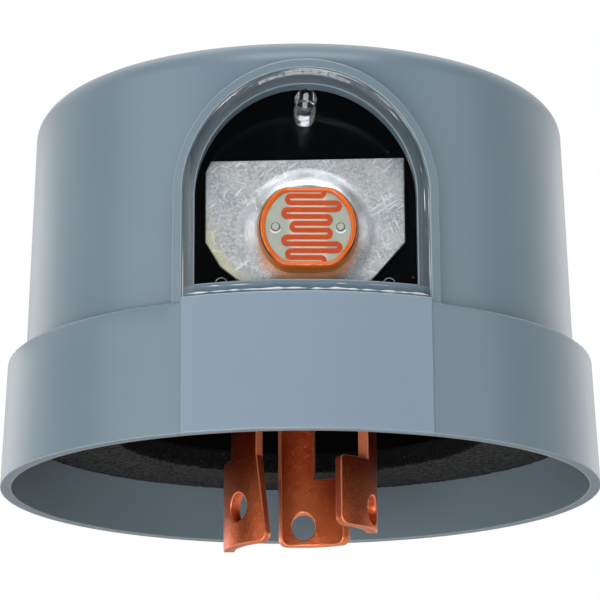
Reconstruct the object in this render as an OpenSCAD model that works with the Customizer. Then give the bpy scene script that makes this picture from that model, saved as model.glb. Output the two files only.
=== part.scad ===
// Twist-lock photocell switch for a street or yard light.
// The origin is the centre of the gasket's sealing face. +Z points up through the dome,
// and the window looks towards -Y.

/* [Cover] */
// Radius of the skirt at its rim
rim_r = 42; // [40:0.5:46]
// Depth of the rim below the gasket's sealing face
skirt_depth = 7.9; // [6:0.1:10]
// Radius lost between the rim and the shoulder
skirt_draft = 0.7; // [0.3:0.1:1.2]
// Width of the shoulder between the skirt and the dome
shoulder_w = 2.5; // [2:0.1:3]
// Height of the dome above the shoulder
dome_h = 36.4; // [35:0.1:42]
// Radius lost between the shoulder and the top of the dome
dome_draft = 0.9; // [0.3:0.1:1.4]
// Radius of the dome's top corner
dome_corner = 3.6; // [2.4:0.1:4.5]
// Wall of the cover
cover_wall = 1.5; // [1.2:0.1:1.8]
// Rounding of the shoulder's outer edge
shoulder_round = 0.5; // [0.2:0.1:0.8]
// How far the mould's insert leaves the skirt proud below the window
insert_stand = 0.12; // [0.05:0.01:0.3]

/* [Window] */
// Radius of the arched frame, which is half its width
frame_r = 17.4; // [16.4:0.1:18.4]
// Height of the arch's centre above the shoulder
arch_rise = 14.8; // [13:0.1:15.8]
// How far the frame's face stands out from the foot of the dome
frame_stand = 1.8; // [1.5:0.1:2.2]
// Width of the frame's rim round the window
frame_w = 1.2; // [0.8:0.1:1.6]
// Width of the ledge behind the window
ledge_w = 1.85; // [1.4:0.05:2.4]
// Depth of the rebate in front of the ledge
rebate_depth = 1.8; // [1.6:0.1:2]
// Height of the sill above the shoulder
sill_rise = 0.5; // [0.3:0.1:1]
// Height of the ledge above the sill
sill_h = 2.1; // [1.5:0.1:3]
// Thickness of the window
window_t = 1.5; // [1:0.1:1.6]
// Gap between the window and the frame
window_gap = 0.2; // [0.1:0.05:0.4]
// Diameter of the locating peg on the window's back
peg_d = 2.8; // [2:0.1:3.4]
// Drop of the peg's upper edge below the top of the opening
peg_drop = 0.7; // [0.4:0.1:2]

/* [Base and gasket] */
// Thickness of the gasket
gasket_t = 3.2; // [2:0.1:5]
// Diameter of the gasket's bore
gasket_bore = 52.4; // [46:0.2:58]
// Gap between the gasket and the skirt
gasket_gap = 0.15; // [0.1:0.05:0.5]
// Thickness of the base plate
base_t = 3; // [2.6:0.1:4]
// Height of the base plate's rim, which seats under the shoulder
base_rim_h = 2; // [1.5:0.1:3]
// Width of the base plate's rim
base_rim_w = 1.6; // [1.2:0.1:2]
// Gap between the base plate and the skirt
base_gap = 0.3; // [0.2:0.05:0.5]
// Number of snap lugs inside the skirt
lug_count = 6; // [3:1:10]
// Angle that each snap lug spans
lug_angle = 12; // [6:1:20]
// Height of a snap lug
lug_h = 1; // [0.8:0.1:1.2]
// Reach of a snap lug from the skirt's wall
lug_reach = 0.9; // [0.6:0.1:1.2]

/* [Blades] */
// Outer radius of the ring that the blades lie on
blade_r = 10.8; // [10:0.1:12]
// Thickness of the blades
blade_t = 1.6; // [1.2:0.1:2]
// Angle that a blade's strip spans
strip_angle = 29; // [24:1:34]
// Angle that a blade's foot reaches past its strip
foot_angle = 30; // [22:1:34]
// Depth of the top of the feet below the sealing face
foot_depth = 4.3; // [3:0.1:6]
// Depth of the live blades' tips below the sealing face
live_depth = 14; // [13.4:0.1:16]
// Depth of the neutral blade's tip below the sealing face
neutral_depth = 16.5; // [15:0.1:18]
// Angle by which the neutral blade widens towards its tip
neutral_flare = 9; // [4:1:12]
// Diameter of the detent hole in each foot
detent_d = 3.9; // [3:0.1:4.4]
// Depth of the detent holes below the sealing face
detent_depth = 11.2; // [10:0.1:11.4]
// Angle of the detent hole behind the strip's middle
detent_shift = 5.5; // [0:0.5:8]
// Rounding of the feet's lower corners
foot_round = 1.2; // [0.6:0.1:1.6]
// Direction of the neutral blade, measured from +X
neutral_az = 220; // [216:0.5:226]
// Direction of the line blade
line_az = 344.5; // [340:0.5:348]
// Direction of the load blade
load_az = 91.5; // [87:0.5:96]
// Reach of the tabs past the blades, flat on the base plate
tab_reach = 6.2; // [5.6:0.1:7]
// Diameter of the rivets that hold the blades
rivet_d = 2.6; // [2:0.1:3]
// Gap round blades, rivets and tenons in the base plate
slot_gap = 0.15; // [0.1:0.05:0.3]

/* [Light sensor] */
// Distance from the window's seat back to the barrier panel
panel_setback = 7.6; // [7:0.1:8.4]
// Thickness of the barrier panel
panel_t = 2; // [1.5:0.1:2.5]
// Gap between the barrier panel and the cover
panel_gap = 0.4; // [0.3:0.1:0.8]
// Gap between the barrier panel and the sensor plate
plate_gap = 1; // [0.8:0.1:1.2]
// Thickness of the sensor plate
plate_t = 0.8; // [0.6:0.1:1]
// Width of the sensor plate
plate_w = 26.2; // [24:0.1:27]
// Height of the sensor plate from its lower edge to its right corner
plate_h = 17.5; // [16.5:0.1:20]
// Rise of the plate's upper edge from left to right
plate_rise = 0.45; // [0:0.05:0.8]
// Radius of the plate's lower corners
plate_corner = 6.9; // [4:0.1:7.2]
// Width of the tongue that carries the plate
tongue_w = 12; // [10:0.5:14]
// Height of the cell's centre above the base plate
cell_rise = 14.1; // [13:0.1:15]
// Offset of the cell from the middle of the window
cell_x = 0.3; // [-0.5:0.1:0.5]
// Height of the cell's centre above the plate's lower edge
cell_seat = 7.1; // [6.6:0.1:7.6]
// Height of the embossed pad
pad_h = 1; // [0.8:0.1:1.2]
// Diameter of the embossed pad at its foot
pad_d = 15.2; // [14.6:0.1:16]
// Width of the pad's slope
pad_slope = 0.7; // [0.5:0.1:0.9]
// Diameter of the cell's ceramic disc
disc_d = 11.2; // [10.4:0.1:11.6]
// Thickness of the ceramic disc
disc_t = 1.4; // [1:0.1:1.8]
// Width of the disc across its two flats
disc_flats = 9.5; // [9.3:0.1:10]
// Width of the epoxy coat round the disc
coat_w = 0.8; // [0.6:0.1:0.9]
// Height of the coat above the disc's face
coat_lip = 0.45; // [0.2:0.05:0.8]
// Pitch of the serpentine's bars
track_pitch = 0.93; // [0.9:0.01:0.94]
// Width of the serpentine
track_w = 0.62; // [0.5:0.01:0.7]
// Thickness of the serpentine
track_t = 0.12; // [0.08:0.01:0.2]
// Distance between the cell's two leads
lead_pitch = 8.4; // [8.2:0.1:8.8]
// Diameter of the cell's leads
lead_d = 0.7; // [0.5:0.1:0.8]

/* [Thermal switch] */
// Side of a terminal's foot
terminal_foot = 8; // [7.4:0.1:8.4]
// Thickness of the terminals
terminal_t = 1; // [0.8:0.1:1.2]
// Height of the bimetal arm's middle above the base plate
arm_rise = 18; // [17:0.1:19]
// Width of the bimetal arm
arm_w = 7; // [6:0.1:8]
// Thickness of the bimetal arm
arm_t = 0.8; // [0.6:0.1:1]
// Distance of the contacts from the axis, towards -X
contact_x = 12; // [11.5:0.1:12.5]
// Diameter of the contacts
contact_d = 5; // [4:0.1:6]
// Height of one contact's head
contact_h = 1.2; // [0.9:0.1:1.5]
// Diameter of the heater
heater_d = 6; // [5:0.1:6.4]
// Length of the heater
heater_l = 16; // [12:0.5:16.5]
// Thickness of the clip that holds the heater to the arm
clip_t = 0.5; // [0.4:0.1:0.7]
// Width of that clip
clip_w = 5; // [4:0.5:7]
// Diameter of the surge arrester's disc
arrester_d = 14; // [12:0.5:14.5]
// Thickness of the surge arrester
arrester_t = 4.5; // [3.5:0.1:5]
// Gap between the surge arrester and the heater's clip
arrester_gap = 2.7; // [2:0.1:3.5]
// Height of the surge arrester's lower edge above the base plate
arrester_lift = 6; // [5:0.1:7]
// Diameter of the wires inside
wire_d = 0.8; // [0.6:0.1:0.9]
// Distance of the soldered ends from a terminal's edges
solder_inset = 1.1; // [0.8:0.1:1.4]

/* [Hidden] */

$fn = 96;
over = 1;

// Heights, from the sealing face up
rim_z = -skirt_depth;
base_z = gasket_t;
base_top = base_z + base_t;
seat_z = base_top + base_rim_h;
shoulder_z = seat_z + cover_wall;
top_z = shoulder_z + dome_h;
sill_z = shoulder_z + sill_rise;
arch_z = shoulder_z + arch_rise;

// Radii of the cover
skirt_top_r = rim_r - skirt_draft;
dome_r = skirt_top_r - shoulder_w;
dome_top_r = dome_r - dome_draft;
frame_face_r = dome_r + frame_stand;
rebate_r = frame_face_r - rebate_depth;
rebate_arch_r = frame_r - frame_w;
opening_r = rebate_arch_r - ledge_w;
opening_z = sill_z + sill_h;

// Inner radius of the skirt at a height
function skirt_in(z) = rim_r - cover_wall - skirt_draft * (z - rim_z) / (shoulder_z - rim_z);
// Inner radius of the dome at a height
function dome_in(z) = dome_r - cover_wall - dome_draft * (z - shoulder_z) / (dome_h - dome_corner);
// A point at a radius and a direction
function at(r, az) = [r * cos(az), r * sin(az)];

base_r = skirt_in(seat_z) - base_gap;
gasket_r = skirt_in(base_z) - gasket_gap;
lug_gap = 0.1;
lug_step = lug_reach + lug_gap;

// Blades and what stands on them
blade_in = blade_r - blade_t;
tab_r = blade_r + tab_reach;
tab_top = base_top + blade_t;
rivet_r = blade_r + tab_reach / 2;
rivet_head_r = rivet_d * 0.85;
rivet_head_h = 1;
rivet_sink = 1.2;
terminal_top = tab_top + terminal_t;
line_p = at(rivet_r, line_az);
load_p = at(rivet_r, load_az);
neutral_p = at(rivet_r, neutral_az);

// Light sensor, as distances in front of the axis
panel_y = rebate_r - panel_setback;
panel_back = panel_y - panel_t;
plate_back = panel_y + plate_gap;
plate_y = plate_back + plate_t;
pad_y = plate_y + pad_h;
disc_y = pad_y + disc_t;
coat_y = disc_y + coat_lip;
panel_top = top_z - cover_wall - 1.6;
panel_half = sqrt(pow(dome_in(panel_top) - panel_gap, 2) - pow(panel_y, 2));
tenon_w = 5;
tenon_h = 2;
tenon_x = 11.5;
cell_z = base_top + cell_rise;
plate_z = cell_z - cell_seat;
pin_x = [cell_x - lead_pitch / 2, cell_x + lead_pitch / 2];
coat_d = disc_d + 2 * coat_w;
coat_flats = disc_flats + 2 * coat_w;
bushing_d = 1.8;
lead_gap = 0.1;
plate_foot_l = 10;
screw_d = 2.5;
screw_y = plate_back - 6.5;
notch_h = plate_t + 0.8;

// Thermal switch
arm_z = base_top + arm_rise;
arm_rear = line_p[1] + terminal_foot / 2 - terminal_t;
arm_front = arm_rear - arm_t;
arm_x0 = -contact_x - contact_d / 2 - 1;
arm_x1 = line_p[0] + terminal_foot / 2;
load_front = arm_rear + 2 * contact_h;
riser_top = arm_z + arm_w / 2 + 0.5;
heater_y = arm_front - clip_t - heater_d / 2;
heater_x = 1;
heater_cap_step = 0.2;
heater_body_d = heater_d - 2 * heater_cap_step;
arm_rivet_d = 2;
arm_rivet_pitch = 4;
wire_z = terminal_top + wire_d / 2;
arrester_x = 4.5;
arrester_y = heater_y - heater_d / 2 - clip_t - arrester_gap - arrester_t / 2;
arrester_z = base_top + arrester_lift + arrester_d / 2;
solder_x = terminal_foot / 2 - solder_inset;
arrester_pitch = 7.5;
splice_d = 2.4;
splice_l = 4;
bushing_stand = 1;
splice_y = panel_back - bushing_stand - slot_gap - splice_l / 2;
wire_turn_y = splice_y - splice_l / 2 - wire_d;
heater_wire_x = arrester_x + arrester_d / 2 + 1.5;

// Angle of a length along the blades' ring
function ring_angle(length) = length / blade_r * 180 / PI;

// A wall curved about the axis, between two radii and two heights
module arc_wall(r0, r1, z0, z1, from, sweep) {
    rotate([0, 0, from])
        rotate_extrude(angle = sweep)
            translate([r0, z0])
                square([r1 - r0, z1 - z0]);
}

// A flat shape drawn in X and Z, as a plate from one distance in front of the axis to another
module front_plate(back, front) {
    translate([0, -back, 0])
        rotate([90, 0, 0])
            linear_extrude(front - back)
                children();
}

// A round bar along Y, from one distance in front of the axis to another
module front_bar(x, z, d, back, front) {
    translate([x, -back, z])
        rotate([90, 0, 0])
            cylinder(d = d, h = front - back);
}

// A straight piece of wire between two points
module wire_run(a, b, d) {
    run = b - a;
    length = norm(run);
    translate(a)
        rotate([0, acos(run[2] / length), atan2(run[1], run[0])])
            cylinder(d = d, h = length, $fn = 24);
}

// A wire through a list of points, with a bend a little fuller than the wire
module wire(points, d) {
    bend_d = d * 1.15;
    for (i = [0 : len(points) - 2])
        wire_run(points[i], points[i + 1], d);
    for (i = [1 : len(points) - 2])
        translate(points[i])
            sphere(d = bend_d, $fn = 24);
}

// Arched outline with a straight foot
module arch(r, foot) {
    intersection() {
        translate([0, arch_z])
            circle(r);
        translate([-r - over, arch_z - over])
            square([2 * (r + over), r + 2 * over]);
    }
    translate([-r, foot])
        square([2 * r, arch_z - foot]);
}

// Round outline with two level flats
module flatted_disc(d, flats) {
    intersection() {
        circle(d = d);
        square([d + over, flats], center = true);
    }
}

// Outside of the cover, as a half section
module cover_outline() {
    polygon([[0, rim_z],
             [rim_r, rim_z],
             [skirt_top_r, shoulder_z - shoulder_round],
             [skirt_top_r - shoulder_round, shoulder_z],
             [dome_r, shoulder_z],
             [dome_top_r, top_z - dome_corner],
             [dome_top_r - dome_corner, top_z],
             [0, top_z]]);
    translate([skirt_top_r - shoulder_round, shoulder_z - shoulder_round])
        circle(shoulder_round);
    translate([dome_top_r - dome_corner, top_z - dome_corner])
        circle(dome_corner);
}

// Inside of the cover, as a half section
module cover_hollow() {
    inner_corner = dome_corner - cover_wall;
    inner_top = top_z - cover_wall;
    corner_r = dome_top_r - dome_corner;
    polygon([[0, rim_z - over],
             [skirt_in(rim_z - over), rim_z - over],
             [skirt_in(seat_z), seat_z],
             [dome_in(shoulder_z), seat_z],
             [dome_in(shoulder_z), shoulder_z],
             [dome_top_r - cover_wall, top_z - dome_corner],
             [corner_r, inner_top],
             [0, inner_top]]);
    translate([corner_r, top_z - dome_corner])
        circle(inner_corner);
}

// Skirt below the window, left proud by the mould's insert, with its sharp upper edge
module insert_panel() {
    intersection() {
        rotate_extrude()
            polygon([[rim_r - cover_wall / 2, rim_z],
                     [rim_r + insert_stand, rim_z],
                     [skirt_top_r + insert_stand, sill_z],
                     [dome_r - cover_wall / 2, sill_z],
                     [dome_r - cover_wall / 2, shoulder_z - cover_wall / 2],
                     [skirt_top_r - cover_wall / 2, shoulder_z - cover_wall / 2]]);
        translate([-rebate_arch_r, -rim_r - over, rim_z])
            cube([2 * rebate_arch_r, rim_r + over, sill_z - rim_z]);
    }
}

// Raised arched frame with a face curved about the dome's axis
module window_frame() {
    frame_foot = shoulder_z - cover_wall / 2;
    intersection() {
        front_plate(dome_r / 2, frame_face_r + over)
            arch(frame_r, frame_foot);
        translate([0, 0, frame_foot])
            cylinder(r = frame_face_r, h = top_z - frame_foot);
    }
}

// Rebate that takes the window, down to the ledge
module window_rebate() {
    difference() {
        front_plate(dome_r / 2, rim_r + 2 * over)
            arch(rebate_arch_r, sill_z);
        cylinder(r = rebate_r, h = top_z);
    }
}

// Snap lugs inside the skirt, sloped below and square above
module snap_lugs() {
    wall_r = skirt_in(base_z);
    for (i = [0 : lug_count - 1])
        rotate([0, 0, (i + 0.5) * 360 / lug_count - lug_angle / 2])
            rotate_extrude(angle = lug_angle)
                polygon([[wall_r + cover_wall / 2, base_z + lug_gap],
                         [wall_r - lug_gap, base_z + lug_gap],
                         [wall_r - lug_reach, base_z + lug_h],
                         [wall_r + cover_wall / 2, base_z + lug_h]]);
}

module cover() {
    color([0.53, 0.58, 0.63]) {
        difference() {
            union() {
                rotate_extrude()
                    cover_outline();
                insert_panel();
                window_frame();
            }
            rotate_extrude()
                cover_hollow();
            window_rebate();
            front_plate(dome_r / 2, rim_r + 2 * over)
                arch(opening_r, opening_z);
        }
        snap_lugs();
    }
}

module window() {
    peg_z = arch_z + opening_r - peg_drop - peg_d / 2;
    color([0.86, 0.90, 0.93, 0.4]) {
        intersection() {
            front_plate(dome_r / 2, rim_r)
                arch(rebate_arch_r - window_gap, sill_z);
            difference() {
                cylinder(r = rebate_r + window_t, h = top_z);
                cylinder(r = rebate_r, h = top_z);
            }
        }
        front_bar(0, peg_z, peg_d, panel_y + 0.3, rebate_r + window_t / 2);
    }
}

module gasket() {
    color([0.22, 0.23, 0.24])
        difference() {
            cylinder(r = gasket_r, h = gasket_t);
            translate([0, 0, -over])
                cylinder(d = gasket_bore, h = gasket_t + 2 * over);
        }
}

// Slot in the base plate for a blade's strip
module blade_slot(az) {
    side_gap = ring_angle(slot_gap);
    arc_wall(blade_in - slot_gap, blade_r + slot_gap, base_z - over, base_top + over,
             az - strip_angle / 2 - side_gap, strip_angle + 2 * side_gap);
}

// Stepped hole in the base plate for a rivet
module rivet_hole(p) {
    translate([p[0], p[1], base_z - over]) {
        cylinder(d = rivet_d + 2 * slot_gap, h = base_t + 2 * over);
        cylinder(r = rivet_head_r + slot_gap, h = rivet_sink + over);
    }
}

// Round pad on the base plate that holds up the load terminal's far end
module terminal_pad() {
    translate([-contact_x, load_p[1], base_top])
        cylinder(d = terminal_foot * 0.6, h = blade_t);
}

module base_plate() {
    step_r = skirt_in(base_z) - lug_reach - base_gap;
    step_z = base_z + lug_h + lug_gap;
    color([0.07, 0.07, 0.08]) {
        difference() {
            rotate_extrude()
                polygon([[0, base_z],
                         [step_r, base_z],
                         [step_r, step_z],
                         [base_r, step_z],
                         [base_r, seat_z],
                         [base_r - base_rim_w, seat_z],
                         [base_r - base_rim_w, base_top],
                         [0, base_top]]);
            for (az = [neutral_az, line_az, load_az])
                blade_slot(az);
            for (p = [neutral_p, line_p, load_p])
                rivet_hole(p);
            for (side = [-1, 1])
                translate([side * tenon_x - tenon_w / 2 - slot_gap, -panel_y - slot_gap,
                           base_top - tenon_h - slot_gap])
                    cube([tenon_w + 2 * slot_gap, panel_t + 2 * slot_gap, tenon_h + over]);
            translate([0, -screw_y, base_top - tenon_h - slot_gap])
                cylinder(d = screw_d + 2 * slot_gap, h = tenon_h + over);
        }
        terminal_pad();
    }
}

// Tool that rounds a corner of a foot: edge direction, height, and which way the foot lies
module corner_tool(az, z, side, up, r) {
    rotate([0, 0, az])
        translate([blade_in - over, 0, 0])
            rotate([90, 0, 90])
                linear_extrude(blade_t + 2 * over)
                    translate([0, z])
                        scale([side, up])
                            corner_outline(r);
}

// Square corner less its rounding, in the first quadrant; the round crosses both faces at a small angle
module corner_outline(r) {
    difference() {
        translate([-over, -over])
            square(r + over);
        translate([r, r])
            circle(r * 1.05);
    }
}

// Tool that slants a foot's edge outwards from its strip down to its tip
module flare_tool(az, tip, sweep) {
    reach = blade_r * sin(sweep);
    far = 3 * reach;
    rotate([0, 0, az])
        translate([blade_in - over, 0, 0])
            rotate([90, 0, 90])
                linear_extrude(blade_t + 2 * over)
                    polygon([[0, -foot_depth + over],
                             [reach, -tip - over],
                             [far, -tip - over],
                             [far, -foot_depth + over]]);
}

// Curved blade: a strip through the base plate, a hooked foot and a riveted tab
module blade(az, p, tip, widening) {
    strip_from = az - strip_angle / 2;
    strip_to = az + strip_angle / 2;
    foot_from = strip_from - foot_angle;
    difference() {
        union() {
            arc_wall(blade_in, blade_r, -foot_depth - over, tab_top, strip_from, strip_angle);
            difference() {
                arc_wall(blade_in, blade_r, -tip, -foot_depth, foot_from,
                         strip_angle + foot_angle + 1.5 * widening);
                if (widening > 0)
                    flare_tool(strip_to, tip, widening);
            }
            arc_wall(blade_in, tab_r, base_top, tab_top, strip_from, strip_angle);
        }
        corner_tool(foot_from, -tip, 1, 1, foot_round);
        corner_tool(foot_from, -foot_depth, 1, -1, foot_round / 2);
        corner_tool(strip_to + widening, -tip, -1, 1, foot_round);
        translate([0, 0, -detent_depth])
            rotate([0, 90, az - detent_shift])
                cylinder(d = detent_d, h = tab_r);
        translate([p[0], p[1], base_top - over])
            cylinder(d = rivet_d + 2 * slot_gap, h = blade_t + 2 * over);
    }
}

module neutral_blade() {
    color([0.75, 0.38, 0.24])
        blade(neutral_az, neutral_p, neutral_depth, neutral_flare);
}

module line_blade() {
    color([0.75, 0.38, 0.24])
        blade(line_az, line_p, live_depth, 0);
}

module load_blade() {
    color([0.75, 0.38, 0.24])
        blade(load_az, load_p, live_depth, 0);
}

module blade_rivets() {
    head_z = base_z + lug_gap;
    color([0.72, 0.60, 0.36])
        for (p = [neutral_p, line_p, load_p])
            translate([p[0], p[1], 0]) {
                translate([0, 0, head_z])
                    cylinder(r = rivet_head_r, h = base_z + rivet_sink - head_z);
                translate([0, 0, head_z])
                    cylinder(d = rivet_d, h = terminal_top - head_z + rivet_head_h / 2);
                translate([0, 0, terminal_top])
                    cylinder(r1 = rivet_head_r, r2 = rivet_head_r * 0.6, h = rivet_head_h);
            }
}

// Black wall behind the cell, with tenons below and two moulded pips on its face
module barrier_panel() {
    pip_d = 1.6;
    pip_h = 0.6;
    pip_x = plate_w / 2 - 2.2;
    pip_z = plate_z + pip_d / 4;
    color([0.03, 0.03, 0.035])
        difference() {
            union() {
                front_plate(panel_back, panel_y)
                    translate([-panel_half, base_top])
                        square([2 * panel_half, panel_top - base_top]);
                for (side = [-1, 1]) {
                    front_plate(panel_back, panel_y)
                        translate([side * tenon_x - tenon_w / 2, base_top - tenon_h])
                            square([tenon_w, tenon_h + over]);
                    front_bar(side * pip_x, pip_z, pip_d, panel_y - over, panel_y + pip_h);
                }
            }
            front_plate(panel_back - over, panel_y + over)
                translate([-tongue_w / 2 - slot_gap, base_top - over])
                    square([tongue_w + 2 * slot_gap, notch_h + over]);
            for (x = pin_x)
                front_bar(x, cell_z, bushing_d + lead_gap, panel_back - over, panel_y + over);
        }
}

// Front view of the sensor plate, with its tongue
module plate_outline() {
    half = plate_w / 2;
    plate_top = plate_z + plate_h;
    chamfer_w = 0.7;
    chamfer_h = 1.5;
    difference() {
        union() {
            translate([-half, plate_z + plate_corner])
                square([plate_w, plate_h - plate_corner]);
            translate([-half + plate_corner, plate_z])
                square([plate_w - 2 * plate_corner, plate_corner + over]);
            for (side = [-1, 1])
                translate([side * (half - plate_corner), plate_z + plate_corner])
                    circle(plate_corner);
        }
        polygon([[-half - over, plate_top + over],
                 [-half - over, plate_top - plate_rise],
                 [-half, plate_top - plate_rise],
                 [half, plate_top],
                 [half, plate_top + over]]);
        polygon([[-half - over, plate_top],
                 [-half - over, plate_top - plate_rise - chamfer_h],
                 [-half, plate_top - plate_rise - chamfer_h],
                 [-half + chamfer_w, plate_top - plate_rise],
                 [-half + chamfer_w, plate_top]]);
    }
    translate([-tongue_w / 2, base_top])
        square([tongue_w, plate_z - base_top + over]);
}

// Aluminium plate with an embossed pad for the cell and a bent foot on the base plate
module sensor_plate() {
    pad_r = pad_d / 2;
    color([0.72, 0.73, 0.73])
        difference() {
            union() {
                front_plate(plate_back, plate_y)
                    plate_outline();
                translate([cell_x, -plate_back, cell_z])
                    rotate([90, 0, 0])
                        cylinder(r1 = pad_r + pad_slope * plate_t / pad_h, r2 = pad_r - pad_slope,
                                 h = plate_t + pad_h);
                translate([-tongue_w / 2, -plate_back - plate_t / 2, base_top])
                    cube([tongue_w, plate_foot_l, plate_t]);
            }
            translate([cell_x, -plate_back + over, cell_z])
                rotate([90, 0, 0])
                    cylinder(r1 = pad_r - plate_t + pad_slope * over / pad_h, r2 = pad_r - plate_t - pad_slope,
                             h = pad_h + over);
            for (x = pin_x)
                front_bar(x, cell_z, bushing_d + lead_gap, plate_back - over, pad_y + over);
            translate([0, -screw_y, base_top - over])
                cylinder(d = screw_d + 2 * slot_gap, h = plate_t + 2 * over);
        }
}

module sensor_plate_screw() {
    head_z = base_top + plate_t;
    head_d = 2 * screw_d;
    head_h = 1.6;
    cross_w = 0.6;
    color([0.7, 0.7, 0.68])
        difference() {
            union() {
                translate([0, -screw_y, base_top - tenon_h])
                    cylinder(d = screw_d, h = tenon_h + plate_t + over);
                translate([0, -screw_y, head_z])
                    cylinder(d1 = head_d, d2 = head_d * 0.8, h = head_h);
            }
            for (turn = [0, 90])
                translate([0, -screw_y, head_z + head_h])
                    rotate([0, 0, turn])
                        cube([screw_d, cross_w, head_h], center = true);
        }
}

// Places a flat shape drawn about the cell's centre
module at_cell(back, front) {
    front_plate(back, front)
        translate([cell_x, cell_z])
            children();
}

module cell_coat() {
    color([0.86, 0.42, 0.14])
        difference() {
            at_cell(pad_y, coat_y)
                flatted_disc(coat_d, coat_flats);
            at_cell(pad_y - over, coat_y + over)
                flatted_disc(disc_d, disc_flats);
        }
}

module cell_disc() {
    color([0.74, 0.73, 0.66])
        difference() {
            at_cell(pad_y, disc_y)
                flatted_disc(disc_d, disc_flats);
            for (x = pin_x)
                front_bar(x, cell_z, lead_d + lead_gap, pad_y - over, disc_y + over);
        }
}

// Light-sensitive serpentine: ten level bars joined by round turns, kept clear of the leads
track_bars = 10;
left_turns = [2.2, 2.7, 1.65, 2.7, 2.2];
right_turns = [3.6, 2.4, 2.4, 3.6];
track_end_x = 1.6;
function bar_z(i) = ((track_bars - 1) / 2 - i) * track_pitch;
function left_x(i) = -left_turns[floor(i / 2)];
function right_x(i) = i == 0 || i == track_bars - 1 ? track_end_x : right_turns[floor((i - 1) / 2)];

// Half ring that joins two bars, open towards the bars
module track_turn(x, z, side) {
    outer = track_pitch / 2 + track_w / 2;
    translate([x, z])
        intersection() {
            difference() {
                circle(outer, $fn = 32);
                circle(outer - track_w, $fn = 32);
            }
            translate([side > 0 ? 0 : -outer - over, -outer - over])
                square([outer + over, 2 * (outer + over)]);
        }
}

// Quarter ring and stub that take an end of the track out to the disc's flat
module track_end(up) {
    outer = track_pitch / 2 + track_w / 2;
    stub = disc_flats / 2 - bar_z(0) - track_pitch / 2;
    scale([1, up])
        translate([track_end_x, bar_z(0) + track_pitch / 2]) {
            intersection() {
                difference() {
                    circle(outer, $fn = 32);
                    circle(outer - track_w, $fn = 32);
                }
                translate([0, -outer - over])
                    square(outer + over);
            }
            translate([outer - track_w, -lead_gap])
                square([track_w, stub + lead_gap]);
        }
}

module cell_track() {
    color([0.72, 0.24, 0.12])
        at_cell(disc_y, disc_y + track_t) {
            for (i = [0 : track_bars - 1])
                translate([left_x(i), bar_z(i) - track_w / 2])
                    square([right_x(i) - left_x(i), track_w]);
            for (i = [0 : 2 : track_bars - 2])
                track_turn(left_x(i), (bar_z(i) + bar_z(i + 1)) / 2, -1);
            for (i = [1 : 2 : track_bars - 3])
                track_turn(right_x(i), (bar_z(i) + bar_z(i + 1)) / 2, 1);
            track_end(1);
            track_end(-1);
        }
}

module cell_leads() {
    head_d = 1.1;
    head_h = 0.25;
    color([0.8, 0.8, 0.78])
        for (x = pin_x) {
            front_bar(x, cell_z, lead_d, splice_y - lead_gap, disc_y + head_h);
            translate([x, -disc_y, cell_z])
                rotate([90, 0, 0])
                    cylinder(d1 = head_d, d2 = lead_d, h = head_h);
        }
}

module lead_bushings() {
    bushing_back = panel_back - bushing_stand;
    color([0.9, 0.88, 0.82])
        for (x = pin_x)
            difference() {
                front_bar(x, cell_z, bushing_d, bushing_back, pad_y);
                front_bar(x, cell_z, lead_d + lead_gap, bushing_back - over, pad_y + over);
            }
}

module lead_splices() {
    color([0.75, 0.15, 0.12])
        for (x = pin_x)
            difference() {
                front_bar(x, cell_z, splice_d, splice_y - splice_l / 2, splice_y + splice_l / 2);
                front_bar(x, cell_z, wire_d + lead_gap, splice_y - splice_l, splice_y + splice_l);
            }
}

module line_wire() {
    end_x = line_p[0] - solder_x;
    end_y = line_p[1] - solder_x;
    run_z = terminal_top + 2 * wire_d;
    color([0.75, 0.45, 0.3])
        wire([[pin_x[0], -splice_y + 2 * lead_gap, cell_z],
              [pin_x[0], -wire_turn_y, cell_z],
              [pin_x[0], -wire_turn_y, run_z],
              [end_x, -wire_turn_y, run_z],
              [end_x, end_y, run_z],
              [end_x, end_y, terminal_top]], wire_d);
}

// Flat foot of a terminal, drilled for its rivet
module terminal_base(p, x0, x1, y0, y1) {
    difference() {
        translate([x0, y0, tab_top])
            cube([x1 - x0, y1 - y0, terminal_t]);
        translate([p[0], p[1], tab_top - over])
            cylinder(d = rivet_d + 2 * slot_gap, h = terminal_t + 2 * over);
    }
}

module line_terminal() {
    half = terminal_foot / 2;
    color([0.78, 0.64, 0.36])
        difference() {
            union() {
                terminal_base(line_p, line_p[0] - half, line_p[0] + half, line_p[1] - half, line_p[1] + half);
                translate([line_p[0] - half, arm_rear, tab_top])
                    cube([terminal_foot, terminal_t, riser_top - tab_top]);
            }
            for (side = [-1, 1])
                front_bar(line_p[0] + side * arm_rivet_pitch / 2, arm_z, arm_rivet_d + lead_gap,
                          -arm_rear - terminal_t - over, -arm_rear + over);
        }
}

module load_terminal() {
    half = terminal_foot / 2;
    color([0.78, 0.64, 0.36])
        difference() {
            union() {
                terminal_base(load_p, -contact_x - half, load_p[0] + half, load_p[1] - half, load_p[1] + half);
                translate([-contact_x - half, load_front, tab_top])
                    cube([terminal_foot, load_p[1] - load_front, terminal_t]);
                translate([-contact_x - half, load_front, tab_top])
                    cube([terminal_foot, terminal_t, riser_top - tab_top]);
            }
            front_bar(-contact_x, arm_z, arm_rivet_d + lead_gap, -load_front - terminal_t - over,
                      -load_front + over);
        }
}

module neutral_terminal() {
    half = terminal_foot / 2;
    lug_w = 3;
    lug_y = heater_y - wire_d / 2;
    lug_top = terminal_top + terminal_foot;
    color([0.78, 0.64, 0.36]) {
        terminal_base(neutral_p, neutral_p[0] - half, neutral_p[0] + half,
                      neutral_p[1] - half, neutral_p[1] + half);
        translate([neutral_p[0] - lug_w / 2, lug_y - terminal_t, tab_top])
            cube([lug_w, terminal_t, lug_top - tab_top]);
    }
}

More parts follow.
